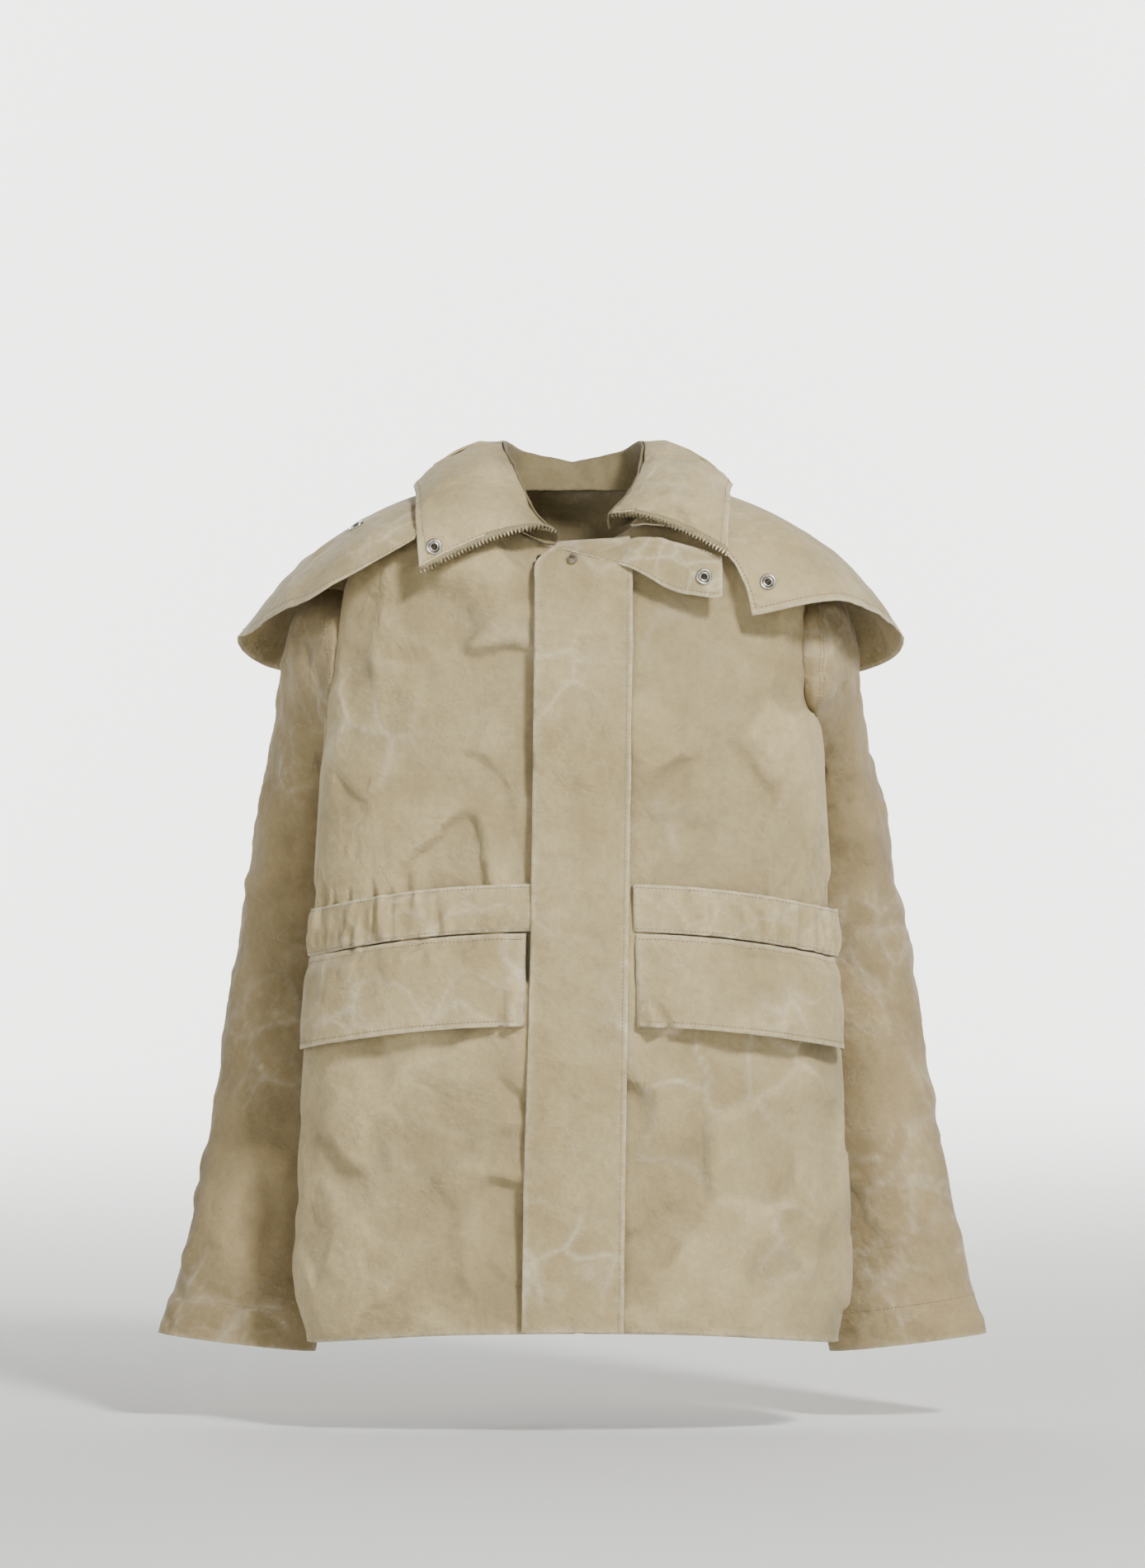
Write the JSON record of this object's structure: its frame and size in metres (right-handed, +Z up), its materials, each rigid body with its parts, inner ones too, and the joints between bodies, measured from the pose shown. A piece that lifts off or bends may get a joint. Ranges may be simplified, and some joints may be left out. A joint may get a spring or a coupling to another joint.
{
  "type": "beekeeping jacket",
  "caption": "Boxy canvas work jacket with a zip front under a storm flap, turned-down collar over a shoulder cape, gathered waist, flap pockets and long sleeves.",
  "frame": {"origin": "middle of the neck, level with the top of the shoulders that carry the jacket", "axes": "+Z up, +X to the wearer's left, -Y to the front"},
  "size_m": [0.745, 0.3157, 0.8067],
  "materials": {
    "canvas": "washed plain-weave cotton canvas, matt",
    "lining_canvas": "reverse of the canvas in shade, matt",
    "elastic": "woven elastic tape",
    "zip_metal": "aged brass teeth on a cotton tape",
    "snap_nickel": "dull nickel plate"
  },
  "bodies": {
    "jacket_body": {"front_panel_right": "canvas", "front_panel_left": "canvas", "back_panel": "canvas", "hem_facing": "lining_canvas", "waist_casing": "canvas", "waist_elastic": "elastic", "zip_rail_right": "zip_metal", "zip_rail_left": "zip_metal", "zip_box": "snap_nickel", "storm_flap_head": "canvas", "storm_stud_1": "snap_nickel", "storm_stud_2": "snap_nickel", "storm_stud_3": "snap_nickel", "storm_stud_4": "snap_nickel", "pocket_bag_right": "canvas", "pocket_bag_left": "canvas", "cape_center": "canvas", "collar_back_fall": "canvas", "collar_stand": "lining_canvas", "storm_lapel": "canvas", "lapel_snap": "snap_nickel", "neck_snap_ring": "snap_nickel", "neck_snap_stud": "snap_nickel"},
    "storm_flap": {"storm_flap": "canvas", "storm_socket_1": "snap_nickel", "storm_socket_2": "snap_nickel", "storm_socket_3": "snap_nickel", "storm_socket_4": "snap_nickel"},
    "slider": {"zip_slider": "snap_nickel"},
    "pocket_flap_right": {"pocket_flap_right": "canvas"},
    "pocket_flap_left": {"pocket_flap_left": "canvas"},
    "collar_leaf_right": {"collar_leaf_right": "canvas", "collar_zip_right": "zip_metal", "collar_snap": "snap_nickel"},
    "collar_leaf_left": {"collar_leaf_left": "canvas", "collar_zip_left": "zip_metal"},
    "sleeve_right": {"sleeve_right": "canvas", "cuff_facing_right": "lining_canvas"},
    "sleeve_left": {"sleeve_left": "canvas", "cuff_facing_left": "lining_canvas"},
    "cape_wing_right": {"cape_wing_right": "canvas", "cape_snap_right": "snap_nickel"},
    "cape_wing_left": {"cape_wing_left": "canvas", "cape_snap_left": "snap_nickel"}
  },
  "joints": [
    {"name": "storm_flap_hinge", "type": "hinge", "parent": "jacket_body", "child": "storm_flap", "pos_m": [0.0514, -0.135, -0.068], "axis": [0.0124, 0.0367, 0.9993], "range_deg": [0, 95]},
    {"name": "zip_slide", "type": "slide", "parent": "jacket_body", "child": "slider", "axis": [0, -0.0333, -0.9994], "range_m": [0, 0.5]},
    {"name": "pocket_flap_right_hinge", "type": "hinge", "parent": "jacket_body", "child": "pocket_flap_right", "pos_m": [-0.04, -0.151, -0.352], "axis": [0.9834, -0.1308, 0.1255], "range_deg": [-80, 0]},
    {"name": "pocket_flap_left_hinge", "type": "hinge", "parent": "jacket_body", "child": "pocket_flap_left", "pos_m": [0.055, -0.15, -0.352], "axis": [0.978, 0.1583, -0.1357], "range_deg": [-80, 0]},
    {"name": "collar_leaf_right_hinge", "type": "hinge", "parent": "jacket_body", "child": "collar_leaf_right", "pos_m": [-0.012, -0.114, -0.005], "axis": [-0.3205, 0.7717, 0.5494], "range_deg": [0, 60]},
    {"name": "collar_leaf_left_hinge", "type": "hinge", "parent": "jacket_body", "child": "collar_leaf_left", "pos_m": [0.031, -0.104, 0.011], "axis": [0.2288, 0.8238, 0.5187], "range_deg": [-60, 0]},
    {"name": "sleeve_right_swing", "type": "hinge", "parent": "jacket_body", "child": "sleeve_right", "pos_m": [-0.216, 0, -0.052], "axis": [0, 1, 0], "range_deg": [0, 45]},
    {"name": "sleeve_left_swing", "type": "hinge", "parent": "jacket_body", "child": "sleeve_left", "pos_m": [0.216, 0, -0.052], "axis": [0, 1, 0], "range_deg": [-45, 0]},
    {"name": "cape_wing_right_lift", "type": "hinge", "parent": "jacket_body", "child": "cape_wing_right", "pos_m": [-0.1385, 0, 0.033], "axis": [0, 1, 0], "range_deg": [0, 30]},
    {"name": "cape_wing_left_lift", "type": "hinge", "parent": "jacket_body", "child": "cape_wing_left", "pos_m": [0.1385, 0, 0.033], "axis": [0, 1, 0], "range_deg": [-30, 0]}
  ],
  "couplings": [
    {"joint": "cape_wing_right_lift", "follows": "sleeve_right_swing", "ratio": 0.6667},
    {"joint": "cape_wing_left_lift", "follows": "sleeve_left_swing", "ratio": 0.6667}
  ]
}
